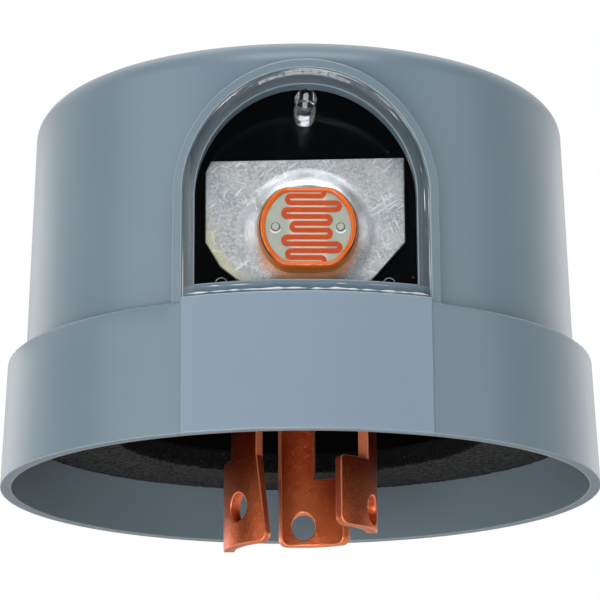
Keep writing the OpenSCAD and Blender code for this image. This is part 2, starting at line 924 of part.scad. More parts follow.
module bimetal_arm() {
    color([0.66, 0.64, 0.6])
        difference() {
            translate([arm_x0, arm_front, arm_z - arm_w / 2])
                cube([arm_x1 - arm_x0, arm_t, arm_w]);
            for (x = [-contact_x, line_p[0] - arm_rivet_pitch / 2, line_p[0] + arm_rivet_pitch / 2])
                front_bar(x, arm_z, arm_rivet_d + lead_gap, -arm_rear - over, -arm_front + over);
        }
}

// Rivet along Y through what lies between two faces, with a flat head on each
module flat_rivet(x, back, front, head_d, back_h, front_h) {
    front_bar(x, arm_z, arm_rivet_d, back - back_h / 2, front + front_h / 2);
    front_bar(x, arm_z, head_d, back - back_h, back);
    front_bar(x, arm_z, head_d, front, front + front_h);
}

module arm_rivets() {
    head_d = arm_rivet_d * 1.7;
    head_h = 0.8;
    color([0.72, 0.6, 0.36])
        for (side = [-1, 1])
            flat_rivet(line_p[0] + side * arm_rivet_pitch / 2, -arm_rear - terminal_t, -arm_front,
                       head_d, head_h, head_h);
}

module moving_contact() {
    tail_h = 0.5;
    color([0.8, 0.8, 0.8]) {
        front_bar(-contact_x, arm_z, contact_d, -arm_rear - contact_h, -arm_rear);
        front_bar(-contact_x, arm_z, arm_rivet_d, -arm_rear - contact_h / 2, -arm_front + tail_h / 2);
        front_bar(-contact_x, arm_z, arm_rivet_d * 1.5, -arm_front, -arm_front + tail_h);
    }
}

module fixed_contact() {
    tail_h = 0.5;
    load_back = load_front + terminal_t;
    color([0.8, 0.8, 0.8]) {
        front_bar(-contact_x, arm_z, contact_d, -load_front, -load_front + contact_h);
        front_bar(-contact_x, arm_z, arm_rivet_d, -load_back - tail_h / 2, -load_front + contact_h / 2);
        front_bar(-contact_x, arm_z, arm_rivet_d * 1.5, -load_back - tail_h, -load_back);
    }
}

// Wire-wound resistor with a cap at each end
module heater() {
    cap_l = 1.6;
    color([0.35, 0.42, 0.36])
        translate([heater_x - heater_l / 2, heater_y, arm_z])
            rotate([0, 90, 0]) {
                cylinder(d = heater_body_d, h = heater_l);
                for (x = [0, heater_l - cap_l])
                    translate([0, 0, x])
                        cylinder(d = heater_d, h = cap_l);
            }
}

// Spring band round the heater, with a flat seat on the arm
module heater_clip() {
    color([0.6, 0.6, 0.6])
        translate([heater_x - clip_w / 2, heater_y, arm_z])
            difference() {
                union() {
                    rotate([0, 90, 0])
                        cylinder(d = heater_d + 2 * clip_t, h = clip_w);
                    translate([0, 0, -heater_d / 4])
                        cube([clip_w, heater_d / 2 + clip_t, heater_d / 2]);
                }
                translate([-over, 0, 0])
                    rotate([0, 90, 0])
                        cylinder(d = heater_body_d + lead_gap, h = clip_w + 2 * over);
            }
}

module heater_leads() {
    color([0.8, 0.8, 0.78]) {
        wire([[heater_x - heater_l / 2, heater_y, arm_z],
              [neutral_p[0], heater_y, arm_z],
              [neutral_p[0], heater_y, terminal_top + wire_d]], wire_d);
        wire([[heater_x + heater_l / 2, heater_y, arm_z],
              [heater_wire_x, heater_y, arm_z],
              [heater_wire_x, -wire_turn_y, cell_z],
              [pin_x[1], -wire_turn_y, cell_z],
              [pin_x[1], -splice_y + 2 * lead_gap, cell_z]], wire_d);
    }
}

// Disc varistor, thick in the middle and rounded off at its edge
module surge_arrester() {
    edge = arrester_t / 4;
    color([0.15, 0.3, 0.55])
        translate([arrester_x, arrester_y + arrester_t / 2, arrester_z])
            rotate([90, 0, 0]) {
                cylinder(d1 = arrester_d - 2 * edge, d2 = arrester_d, h = edge);
                translate([0, 0, edge])
                    cylinder(d = arrester_d, h = arrester_t - 2 * edge);
                translate([0, 0, arrester_t - edge])
                    cylinder(d1 = arrester_d, d2 = arrester_d - 2 * edge, h = edge);
            }
}

module arrester_leads() {
    lead_top = arrester_z - sqrt(pow(arrester_d, 2) - pow(arrester_pitch, 2)) / 2 - wire_d * 0.35;
    ends = [[neutral_p[0] + solder_x, neutral_p[1] - solder_x, wire_z],
            [line_p[0] + solder_x, line_p[1] - solder_x, wire_z]];
    color([0.8, 0.8, 0.78])
        for (i = [0, 1]) {
            side = 2 * i - 1;
            x = arrester_x + side * arrester_pitch / 2;
            wire_run([x, arrester_y, lead_top], ends[i], wire_d);
        }
}

cover();
window();
gasket();
base_plate();
neutral_blade();
line_blade();
load_blade();
blade_rivets();
barrier_panel();
sensor_plate();
sensor_plate_screw();
cell_coat();
cell_disc();
cell_track();
cell_leads();
lead_bushings();
lead_splices();
line_wire();
line_terminal();
load_terminal();
neutral_terminal();
bimetal_arm();
arm_rivets();
moving_contact();
fixed_contact();
heater();
heater_clip();
heater_leads();
surge_arrester();
arrester_leads();
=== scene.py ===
"""Looks of the twist-lock photocell switch: cover, clear window, light cell, foam gasket and copper blades."""
import math

import bmesh
import bpy
import numpy as np
from mathutils import Matrix, Vector


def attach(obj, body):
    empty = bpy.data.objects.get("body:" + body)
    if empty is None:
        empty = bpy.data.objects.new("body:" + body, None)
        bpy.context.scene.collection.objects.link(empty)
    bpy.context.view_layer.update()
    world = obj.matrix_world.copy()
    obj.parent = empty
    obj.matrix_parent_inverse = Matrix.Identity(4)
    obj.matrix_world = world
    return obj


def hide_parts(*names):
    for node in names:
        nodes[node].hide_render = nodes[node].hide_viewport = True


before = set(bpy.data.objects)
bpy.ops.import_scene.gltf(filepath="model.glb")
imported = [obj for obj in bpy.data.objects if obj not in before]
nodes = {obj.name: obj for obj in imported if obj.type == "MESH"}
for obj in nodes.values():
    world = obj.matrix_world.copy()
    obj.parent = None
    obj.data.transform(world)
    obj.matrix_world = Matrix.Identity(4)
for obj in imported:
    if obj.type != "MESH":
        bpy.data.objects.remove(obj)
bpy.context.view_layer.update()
mm = 0.001
rng = np.random.default_rng(11)

# Sizes repeated from the part's source, in millimetres
RIM_Z = -7.9
REBATE_R, REBATE_ARCH_R, ARCH_Z, SILL_Z = 38.8, 16.2, 24.5, 10.2
GASKET_T, GASKET_BORE_R, GASKET_R = 3.2, 26.2, 39.9
CELL_X, CELL_Z, PAD_Y, DISC_Y, COAT_Y, PLATE_Y, BASE_TOP = 0.3, 20.3, 34.0, 35.4, 35.85, 33.0, 6.2
DISC_R, DISC_HALF, COAT_W = 5.6, 4.75, 0.8
PANEL_Y, PEG_Z = 31.2, 36.75


# Mesh helpers

def mesh_object(name, verts, faces, material):
    """One smooth object at the origin from an array of points in millimetres and an array or a list of faces."""
    mesh = bpy.data.meshes.new(name)
    points = (np.asarray(verts, float) * mm).tolist()
    mesh.from_pydata(points, [], faces if isinstance(faces, list) else faces.tolist())
    mesh.polygons.foreach_set("use_smooth", np.ones(len(mesh.polygons), dtype=bool))
    mesh.materials.append(material)
    mesh.update()
    obj = bpy.data.objects.new(name, mesh)
    bpy.context.scene.collection.objects.link(obj)
    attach(obj, "root")
    return obj


def grid_faces(rows, cols, wrap_rows=False, wrap_cols=False):
    """Quads between neighbouring points of a grid stored row by row, closed round where asked."""
    i = np.arange(rows if wrap_rows else rows - 1)[:, None]
    j = np.arange(cols if wrap_cols else cols - 1)[None, :]
    i2, j2 = (i + 1) % rows, (j + 1) % cols
    return np.stack([i * cols + j, i * cols + j2, i2 * cols + j2, i2 * cols + j], axis=-1).reshape(-1, 4)


def softened(node, width, material, angle=35):
    """The node's own mesh, merged, with its sharp edges rounded by a bevel unless the width is 0."""
    mesh = nodes[node].data.copy()
    if "custom_normal" in mesh.attributes:
        mesh.attributes.remove(mesh.attributes["custom_normal"])
    bm = bmesh.new()
    bm.from_mesh(mesh)
    bmesh.ops.remove_doubles(bm, verts=bm.verts, dist=2e-6)
    bm.to_mesh(mesh)
    bm.free()
    mesh.polygons.foreach_set("use_smooth", np.ones(len(mesh.polygons), dtype=bool))
    mesh.set_sharp_from_angle(angle=math.radians(angle))
    mesh.materials.clear()
    mesh.materials.append(material)
    obj = bpy.data.objects.new(node + "_softened", mesh)
    bpy.context.scene.collection.objects.link(obj)
    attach(obj, "root")
    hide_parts(node)
    if not width:
        return obj
    edge = obj.modifiers.new("edge", "BEVEL")
    edge.limit_method = "ANGLE"
    edge.angle_limit = math.radians(angle)
    edge.width = width * mm
    edge.segments = 2
    edge.harden_normals = True
    edge.use_clamp_overlap = True
    return obj


# Shader helpers

class Shade:
    """One material or group being built: adds nodes with values by socket name, and links them."""

    def __init__(self, tree):
        self.tree = tree

    def give(self, socket, value):
        if isinstance(value, bpy.types.NodeSocket):
            self.tree.links.new(value, socket)
        elif isinstance(value, tuple) and socket.type == "RGBA":
            socket.default_value = (*value, 1)
        else:
            socket.default_value = value

    def add(self, kind, inputs=None, **props):
        node = self.tree.nodes.new(kind)
        for key, value in props.items():
            setattr(node, key, value)
        for key, value in (inputs or {}).items():
            self.give(node.inputs[key], value)
        return node

    def math(self, operation, *values, clamp=False):
        return self.add("ShaderNodeMath", dict(enumerate(values)), operation=operation, use_clamp=clamp).outputs[0]

    def band(self, value, low, high):
        """0 below low, 1 above high, smooth between."""
        node = self.add("ShaderNodeMapRange", {"Value": value, "From Min": low, "From Max": high},
                        interpolation_type="SMOOTHSTEP")
        return node.outputs["Result"]

    def mix(self, fac, a, b, blend="MIX"):
        node = self.add("ShaderNodeMix", data_type="RGBA", blend_type=blend)
        for key, value in ((0, fac), (6, a), (7, b)):
            self.give(node.inputs[key], value)
        return node.outputs[2]

    def noise(self, vector, scale, detail=3.0, rough=0.5):
        return self.add("ShaderNodeTexNoise", {"Vector": vector, "Scale": scale, "Detail": detail,
                                               "Roughness": rough}).outputs["Fac"]

    def stretched(self, vector, scale, turn=(0, 0, 0)):
        """Turns the coordinates and then scales them, so that a noise of them is drawn out along the turned axes."""
        turned = self.add("ShaderNodeMapping", {"Vector": vector, "Rotation": turn}).outputs[0]
        return self.add("ShaderNodeMapping", {"Vector": turned, "Scale": scale}).outputs[0]

    def bump(self, height, strength, distance, normal=None):
        inputs = {"Height": height, "Strength": strength, "Distance": distance}
        if normal is not None:
            inputs["Normal"] = normal
        return self.add("ShaderNodeBump", inputs).outputs["Normal"]


def group_tree(name, inputs, outputs):
    """A shader group with named inputs (name, socket type) and outputs (name, socket type)."""
    tree = bpy.data.node_groups.new(name, "ShaderNodeTree")
    for key, kind in inputs:
        tree.interface.new_socket(name=key, in_out="INPUT", socket_type=kind)
    for key, kind in outputs:
        tree.interface.new_socket(name=key, in_out="OUTPUT", socket_type=kind)
    return Shade(tree), tree.nodes.new("NodeGroupInput"), tree.nodes.new("NodeGroupOutput")


def scuff_group():
    """Fine scratches: noise stretched along three directions and cut to thin lines, kept to patches."""
    s, gin, gout = group_tree("scuffs", [("Vector", "NodeSocketVector"), ("Amount", "NodeSocketFloat")],
                              [("Mask", "NodeSocketFloat")])
    total = None
    for turn, fine in ((0.3, 4200.0), (-0.8, 3600.0), (1.25, 4600.0), (2.2, 3900.0)):
        v = s.stretched(gin.outputs["Vector"], (fine, 700.0, 300.0), (0.15, turn, 0.1))
        line = s.band(s.noise(v, 1.0, 1.0, 0.4), 0.64, 0.70)
        total = line if total is None else s.math("MAXIMUM", total, line)
    patch = s.band(s.noise(gin.outputs["Vector"], 260.0, 2.0), 0.42, 0.6)
    s.tree.links.new(s.math("MULTIPLY", s.math("MULTIPLY", total, patch), gin.outputs["Amount"]), gout.inputs["Mask"])
    return s.tree


def grain_group():
    """Moulded grain: a fine noise as a height and a broad noise as a slow tint."""
    s, gin, gout = group_tree("moulded grain", [("Vector", "NodeSocketVector"), ("Fine", "NodeSocketFloat")],
                              [("Height", "NodeSocketFloat"), ("Tint", "NodeSocketFloat")])
    s.tree.links.new(s.noise(gin.outputs["Vector"], gin.outputs["Fine"], 2.0), gout.inputs["Height"])
    s.tree.links.new(s.noise(gin.outputs["Vector"], 70.0, 2.0), gout.inputs["Tint"])
    return s.tree


SCUFFS = scuff_group()
GRAIN = grain_group()


def finish_of(name, **plain):
    """A new material with plain values on its Principled shader; returns (material, shade, shader, object coords)."""
    mat = bpy.data.materials.new(name)
    mat.use_nodes = True
    s = Shade(mat.node_tree)
    shader = mat.node_tree.nodes["Principled BSDF"]
    for key, value in plain.items():
        s.give(shader.inputs[key.replace("_", " ")], value)
    return mat, s, shader, s.add("ShaderNodeTexCoord").outputs["Object"]


def link(s, shader, **sockets):
    """Links worked-out values into the shader's sockets."""
    for key, value in sockets.items():
        s.tree.links.new(value, shader.inputs[key.replace("_", " ")])


def cover_plastic():
    """Blue-grey polypropylene: fine grain, slow tint, a paler insert panel with seams below the window, a darker
    inside of the skirt as painted shade, a ledge painted darker as shade, and edges rounded in the shading with a
    paler painted highlight."""
    mat, s, shader, co = finish_of("cover polypropylene", IOR=1.49)
    grain = s.add("ShaderNodeGroup", node_tree=GRAIN)
    s.give(grain.inputs["Vector"], co)
    s.give(grain.inputs["Fine"], 2600.0)
    base = s.mix(grain.outputs["Tint"], (0.148, 0.207, 0.250), (0.164, 0.224, 0.268))
    xyz = s.add("ShaderNodeSeparateXYZ", {"Vector": co})
    inside = s.math("LESS_THAN", s.math("ABSOLUTE", xyz.outputs["X"]), REBATE_ARCH_R * mm)
    front = s.math("LESS_THAN", xyz.outputs["Y"], -37.2 * mm)
    low = s.math("LESS_THAN", xyz.outputs["Z"], (SILL_Z + 0.05) * mm)
    panel = s.math("MULTIPLY", s.math("MULTIPLY", inside, front), low)
    base = s.mix(panel, base, (0.214, 0.282, 0.347))
    seam = s.math("SUBTRACT", s.math("ABSOLUTE", xyz.outputs["X"]), REBATE_ARCH_R * mm)
    seam = s.math("LESS_THAN", s.math("ABSOLUTE", seam), 0.08 * mm)
    base = s.mix(s.math("MULTIPLY", s.math("MULTIPLY", seam, front), low), base, (0.075, 0.105, 0.128))
    flat = s.add("ShaderNodeVectorMath", {0: co, 1: (1, 1, 0)}, operation="MULTIPLY").outputs["Vector"]
    round_r = s.add("ShaderNodeVectorMath", {0: flat}, operation="LENGTH").outputs["Value"]
    # Painted shade: a thin band at the ledge round the window opening is painted darker, as the shade it lies in.
    ledge = s.math("LESS_THAN", s.math("ABSOLUTE", s.math("SUBTRACT", round_r, REBATE_R * mm)), 0.12 * mm)
    ledge = s.math("MULTIPLY", s.math("MULTIPLY", ledge, inside), s.math("LESS_THAN", xyz.outputs["Y"], -30 * mm))
    ledge = s.math("MULTIPLY", ledge, s.math("GREATER_THAN", xyz.outputs["Z"], (SILL_Z + 2.0) * mm))
    # Painted shade: the inside of the skirt gets a uniform darker tone in place of the shade it lies in.
    wall = s.math("MULTIPLY", s.math("LESS_THAN", round_r, 41.0 * mm),
                  s.math("LESS_THAN", xyz.outputs["Z"], GASKET_T * mm))
    base = s.mix(wall, base, (0.165, 0.218, 0.250))
    # Painted highlight: where the shading rounds an edge, the colour is made paler, standing in for the light the
    # edge catches.
    rounded = s.add("ShaderNodeBevel", {"Radius": 0.34 * mm}, samples=6).outputs["Normal"]
    true = s.add("ShaderNodeNewGeometry").outputs["Normal"]
    turn = s.add("ShaderNodeVectorMath", {0: rounded, 1: true}, operation="DOT_PRODUCT").outputs["Value"]
    rim = s.band(s.math("SUBTRACT", 1.0, turn), 0.02, 0.16)
    base = s.mix(s.math("MULTIPLY", rim, 0.9), s.mix(ledge, base, (0.105, 0.132, 0.148)), (0.46, 0.54, 0.58))
    link(s, shader, Base_Color=base,
         Roughness=s.math("MULTIPLY_ADD", grain.outputs["Tint"], 0.06, 0.285),
         Normal=s.bump(grain.outputs["Height"], 0.05, 0.0001, rounded))
    return mat


def plain_plastic(name, colour, rough, fine=2500.0, strength=0.1, gloss=0.5):
    """A moulded or dipped finish with a slight tint and a fine grain."""
    mat, s, shader, co = finish_of(name, Specular_IOR_Level=gloss)
    grain = s.add("ShaderNodeGroup", node_tree=GRAIN)
    s.give(grain.inputs["Vector"], co)
    s.give(grain.inputs["Fine"], fine)
    dark = tuple(c * 0.82 for c in colour)
    link(s, shader, Base_Color=s.mix(grain.outputs["Tint"], dark, colour),
         Roughness=s.math("MULTIPLY_ADD", grain.outputs["Tint"], 0.12, rough - 0.06),
         Normal=s.bump(grain.outputs["Height"], strength, 0.0001))
    return mat


def worn_metal(name, colour, rough, amount=0.6):
    """Rolled or drawn metal: cloudy tone, and fine scratches that are smoother and brighter."""
    mat, s, shader, co = finish_of(name, Metallic=1.0)
    scuff = s.add("ShaderNodeGroup", node_tree=SCUFFS)
    s.give(scuff.inputs["Vector"], co)
    s.give(scuff.inputs["Amount"], amount)
    cloud = s.noise(co, 320.0, 4.0)
    base = s.mix(cloud, tuple(c * 0.72 for c in colour), colour)
    bright = tuple(min(1.0, c * 1.25 + 0.05) for c in colour)
    link(s, shader, Base_Color=s.mix(scuff.outputs["Mask"], base, bright),
         Roughness=s.math("MULTIPLY_ADD", cloud, 0.18, rough - 0.09),
         Normal=s.bump(s.math("ADD", cloud, scuff.outputs["Mask"]), 0.12, 0.0001))
    return mat


def blade_copper():
    """Sheared copper strip: brown tarnish, bright along scratches, fine speckle; painted light and shade make it
    paler lower down, darker higher up and darker on the blades at the front, and painted highlights make its edges
    paler.
    """
    mat, s, shader, co = finish_of("blade copper", Metallic=1.0)
    scuff = s.add("ShaderNodeGroup", node_tree=SCUFFS)
    s.give(scuff.inputs["Vector"], co)
    s.give(scuff.inputs["Amount"], 0.12)
    cloud = s.noise(co, 260.0, 4.0, 0.6)
    speck = s.band(s.noise(co, 5000.0, 2.0), 0.53, 0.66)
    xyz = s.add("ShaderNodeSeparateXYZ", {"Vector": co})
    z = xyz.outputs["Z"]
    # Painted shade: the copper is darker higher up, inside the skirt, and paler lower down, where the light reaches
    # it.
    low = s.band(s.math("MULTIPLY_ADD", cloud, 0.006, z), -6.5 * mm, 0.5 * mm)
    front = s.mix(low, (0.74, 0.150, 0.050), (0.54, 0.050, 0.014))
    # Painted light: the blade at the back gets a brighter copy of the copper than the blades at the front.
    back = s.mix(low, (1.0, 0.255, 0.085), (0.84, 0.125, 0.038))
    base = s.mix(s.band(xyz.outputs["Y"], 0.0, 5.0 * mm), front, back)
    base = s.mix(s.math("MULTIPLY", speck, s.math("MULTIPLY_ADD", low, -0.3, 0.42)), base, (1.0, 0.46, 0.23))
    base = s.mix(scuff.outputs["Mask"], base, (1.0, 0.52, 0.30))
    # Painted highlight: the edge attribute and the strip's sides are painted paler copper and made less metallic, as
    # lit edges.
    edge = s.add("ShaderNodeAttribute", attribute_name="edge").outputs["Fac"]
    strip = s.math("MULTIPLY", s.math("GREATER_THAN", edge, 0.1), s.band(z, -4.5 * mm, -4.2 * mm))
    edge = s.math("MAXIMUM", edge, strip)
    base = s.mix(s.math("MULTIPLY", edge, 0.9), base, (1.0, 0.31, 0.14))
    link(s, shader, Base_Color=base, Roughness=s.math("MULTIPLY_ADD", cloud, 0.22, 0.24),
         Metallic=s.math("MULTIPLY_ADD", edge, -0.55, 1.0),
         Normal=s.bump(s.math("ADD", s.math("MULTIPLY", cloud, 2.0), s.math("MULTIPLY", speck, 0.25)), 0.25, 0.0002))
    return mat


def foam():
    """Open-celled foam: dark grey, rough, with pits from a cell pattern; every face but the underside, and the pits,
    are painted darker as shade.
    """
    mat, s, shader, co = finish_of("gasket foam", Roughness=0.95, Specular_IOR_Level=0.2)
    cells = s.add("ShaderNodeTexVoronoi", {"Vector": co, "Scale": 1500.0}).outputs["Distance"]
    fuzz = s.noise(co, 2200.0, 3.0, 0.7)
    height = s.math("MULTIPLY_ADD", fuzz, 0.8, s.math("MULTIPLY", cells, 0.6))
    # Painted shade: faces that do not face down are painted near black, and the underside is left paler.
    facing = s.add("ShaderNodeSeparateXYZ", {"Vector": s.add("ShaderNodeNewGeometry").outputs["Normal"]})
    under = s.band(s.math("MULTIPLY", facing.outputs["Z"], -1.0), 0.5, 0.9)
    pale = s.mix(under, (0.007, 0.007, 0.007), (0.040, 0.041, 0.041))
    dots = s.add("ShaderNodeTexVoronoi", {"Vector": co, "Scale": 1900.0}).outputs["Distance"]
    speck = s.math("MULTIPLY", s.math("LESS_THAN", dots, 0.13), s.band(s.noise(co, 900.0, 1.0), 0.56, 0.60))
    # Painted shade: the low points of the pit height are painted darker.
    tone = s.mix(s.band(height, 0.35, 0.95), (0.003, 0.003, 0.003), pale)
    link(s, shader, Base_Color=s.mix(speck, tone, (0.15, 0.14, 0.12)),
         Normal=s.bump(height, 0.8, 0.0005))
    return mat


def window_clear():
    """Clear moulding: smooth transmission, with shadow rays let through so that the cell behind it is lit."""
    mat, s, shader, co = finish_of("window clear", Base_Color=(0.97, 0.985, 1.0), Roughness=0.0, IOR=1.49,
                                   Transmission_Weight=1.0)
    path = s.add("ShaderNodeLightPath")
    through = s.math("MAXIMUM", path.outputs["Is Shadow Ray"], path.outputs["Is Diffuse Ray"])
    clear = s.add("ShaderNodeBsdfTransparent", {"Color": (0.95, 0.97, 0.98)})
    both = s.add("ShaderNodeMixShader", {0: through, 1: shader.outputs[0], 2: clear.outputs[0]})
    s.tree.links.new(both.outputs[0], s.tree.nodes["Material Output"].inputs["Surface"])
    wave = s.noise(co, 90.0, 1.0)
    link(s, shader, Normal=s.bump(wave, 0.02, 0.001))
    return mat


def cell_epoxy():
    """Clear orange resin: glossy, with a dark line painted as shade and broken glints painted as highlights at its
    lip, and an amber skirt where it is thin; the attribute out is the distance from the disc's edge in millimetres."""
    mat, s, shader, co = finish_of("cell epoxy", Roughness=0.12, IOR=1.52, Coat_Weight=0.3, Subsurface_Weight=0.35,
                                   Subsurface_Radius=(0.9, 0.25, 0.06), Subsurface_Scale=0.0012)
    tone = s.noise(co, 420.0, 3.0)
    base = s.mix(tone, (0.74, 0.115, 0.009), (0.92, 0.19, 0.020))
    out = s.add("ShaderNodeAttribute", attribute_name="out").outputs["Fac"]
    # Painted highlight: broken pale gold glints along the lip.
    lip = s.math("MULTIPLY", s.band(out, 0.46, 0.52), s.math("SUBTRACT", 1.0, s.band(out, 0.53, 0.59)))
    glint = s.math("MULTIPLY", lip, s.band(s.noise(co, 700.0, 2.0), 0.42, 0.58))
    base = s.mix(s.math("MULTIPLY", glint, 0.7), base, (0.95, 0.46, 0.17))
    # Painted shade: a dark line just outside the lip, left off at the bottom.
    up = s.add("ShaderNodeSeparateXYZ", {"Vector": co}).outputs["Z"]
    line = s.math("MULTIPLY", s.band(out, 0.56, 0.64), s.band(up, (CELL_Z - 4.9) * mm, (CELL_Z - 3.6) * mm))
    base = s.mix(line, base, (0.055, 0.016, 0.004))
    amber = s.mix(s.band(out, 0.85, 1.15), (0.70, 0.20, 0.022), (0.74, 0.37, 0.12))
    link(s, shader, Base_Color=s.mix(s.band(out, 0.70, 0.84), base, amber))
    return mat


def cell_face():
    """Ceramic under a thin metal film: grey, finely mottled, a little shiny, and cream between the track's runs."""
    mat, s, shader, co = finish_of("cell ceramic", Roughness=0.42, Specular_IOR_Level=0.3)
    tone = s.noise(co, 900.0, 3.0)
    x = s.add("ShaderNodeSeparateXYZ", {"Vector": co}).outputs["X"]
    side = s.band(s.math("ABSOLUTE", s.math("SUBTRACT", x, CELL_X * mm)), 1.9 * mm, 2.8 * mm)
    base = s.mix(side, (0.78, 0.64, 0.50), s.mix(tone, (0.36, 0.37, 0.30), (0.49, 0.50, 0.41)))
    link(s, shader, Base_Color=base, Normal=s.bump(tone, 0.1, 0.0001))
    return mat


def cell_film():
    """Sintered light-sensitive film: brick red with a fine speckle and darker edges."""
    mat, s, shader, co = finish_of("cell film", Roughness=0.5, Specular_IOR_Level=0.2)
    tone = s.noise(co, 1500.0, 3.0)
    rounded = s.add("ShaderNodeBevel", {"Radius": 0.10 * mm}, samples=6).outputs["Normal"]
    true = s.add("ShaderNodeNewGeometry").outputs["Normal"]
    turn = s.add("ShaderNodeVectorMath", {0: rounded, 1: true}, operation="DOT_PRODUCT").outputs["Value"]
    rim = s.band(s.math("SUBTRACT", 1.0, turn), 0.02, 0.2)
    base = s.mix(tone, (0.50, 0.052, 0.010), (0.66, 0.088, 0.016))
    link(s, shader, Base_Color=s.mix(s.math("MULTIPLY", rim, 0.75), base, (0.26, 0.040, 0.012)),
         Normal=s.bump(tone, 0.15, 0.0001))
    return mat


def plate_aluminium():
    """Bare aluminium sheet: cloudy, scratched, with resin stain round the cell that is strongest below it; the upper
    part of the ring round the cell is polished and also painted near white as a highlight.
    """
    mat, s, shader, co = finish_of("plate aluminium")
    scuff = s.add("ShaderNodeGroup", node_tree=SCUFFS)
    s.give(scuff.inputs["Vector"], co)
    s.give(scuff.inputs["Amount"], 0.9)
    cloud = s.noise(co, 240.0, 4.0, 0.6)
    base = s.mix(s.band(cloud, 0.3, 0.7), (0.34, 0.34, 0.35), (0.50, 0.50, 0.50))
    base = s.mix(s.band(s.noise(co, 3200.0, 3.0), 0.35, 0.7), base, (0.60, 0.60, 0.59))
    base = s.mix(s.math("MULTIPLY", scuff.outputs["Mask"], 0.7), base, (0.92, 0.92, 0.92))
    xyz = s.add("ShaderNodeSeparateXYZ", {"Vector": co})
    dx = s.math("SUBTRACT", xyz.outputs["X"], CELL_X * mm)
    dz = s.math("SUBTRACT", xyz.outputs["Z"], (CELL_Z - 0.7) * mm)
    far = s.math("SQRT", s.math("ADD", s.math("MULTIPLY", dx, dx), s.math("MULTIPLY", dz, dz)))
    wobble = s.math("MULTIPLY_ADD", s.noise(co, 500.0, 2.0), 0.0012, far)
    stain = s.math("SUBTRACT", 1.0, s.band(wobble, 6.3 * mm, 8.4 * mm))
    stain = s.math("MULTIPLY", stain, s.math("SUBTRACT", 1.0, s.band(dz, -2.0 * mm, 3.5 * mm)))
    base = s.mix(s.math("MULTIPLY", stain, 0.9), base, (0.62, 0.20, 0.045))
    cut = s.math("MULTIPLY_ADD", dx, -0.77, s.math("MULTIPLY", dz, -0.64))
    rim = s.math("MAXIMUM", s.math("SUBTRACT", cut, 11.0 * mm), s.math("SUBTRACT", -13.1 * mm, dx))
    below = s.math("SUBTRACT", 1.0, s.band(dz, -1.0 * mm, 4.0 * mm))
    yellow = s.math("MULTIPLY", s.band(rim, -1.7 * mm, -0.3 * mm), below)
    base = s.mix(s.math("MULTIPLY", yellow, 0.65), base, (0.58, 0.56, 0.30))
    # Painted highlight: the upper part of the ring round the cell is painted near white; its lower roughness and
    # higher metal are polish.
    halo = s.math("MULTIPLY", s.band(wobble, 6.4 * mm, 7.4 * mm),
                  s.math("SUBTRACT", 1.0, s.band(wobble, 8.0 * mm, 10.4 * mm)))
    halo = s.math("MULTIPLY", halo, s.band(dz, -2.6 * mm, 0.6 * mm))
    base = s.mix(s.math("MULTIPLY", halo, 0.8), base, (0.97, 0.97, 0.97))
    metal = s.math("MULTIPLY_ADD", halo, 0.25, s.math("MULTIPLY_ADD", stain, -0.55, 0.70))
    rough = s.math("MULTIPLY_ADD", halo, -0.17, s.math("MULTIPLY_ADD", cloud, 0.1, 0.42))
    link(s, shader, Base_Color=base, Metallic=metal, Roughness=rough,
         Normal=s.bump(s.math("ADD", s.math("MULTIPLY", cloud, 1.5), scuff.outputs["Mask"]), 0.22, 0.0002))
    return mat


def panel_black():
    """Polished black plastic with faint upright streaks painted paler as reflections, and a few pale dust specks."""
    mat, s, shader, co = finish_of("panel black", IOR=1.5, Specular_IOR_Level=0.25)
    # Painted reflection: faint upright streaks a little paler than the black, and a little rougher.
    streak = s.band(s.noise(s.stretched(co, (900, 900, 18)), 1.0, 2.0), 0.55, 0.8)
    dots = s.add("ShaderNodeTexVoronoi", {"Vector": co, "Scale": 520.0}).outputs["Distance"]
    keep = s.band(s.noise(co, 330.0, 1.0), 0.60, 0.64)
    dust = s.math("MULTIPLY", s.math("LESS_THAN", dots, 0.10), keep)
    base = s.mix(s.math("MULTIPLY", streak, 0.25), (0.0016, 0.0020, 0.0026), (0.007, 0.008, 0.011))
    link(s, shader, Base_Color=s.mix(dust, base, (0.16, 0.17, 0.18)),
         Roughness=s.math("MULTIPLY_ADD", streak, 0.1, 0.12))
    return mat


COVER = cover_plastic()
WINDOW = window_clear()
CEMENT = plain_plastic("clear cement", (0.70, 0.74, 0.76), 0.16)
# Painted highlight: pale colour for the rims of the panel's pips, standing in for the light they catch.
GLINT = plain_plastic("pip rim highlight", (0.60, 0.63, 0.65), 0.14)
# Solder at the pins, painted near white as its glint.
SOLDER = plain_plastic("solder glint", (0.95, 0.94, 0.88), 0.2)
FOAM = foam()
BASE = plain_plastic("base black", (0.0022, 0.0022, 0.0024), 0.85, 1600.0, 0.5, 0.0)
COPPER = blade_copper()
EPOXY = cell_epoxy()
CELL_FACE = cell_face()
FILM = cell_film()
PLATE = plate_aluminium()
PANEL = panel_black()
TINNED = worn_metal("tinned wire", (0.62, 0.62, 0.60), 0.35)
BRASS = worn_metal("terminal brass", (0.62, 0.42, 0.14), 0.36)

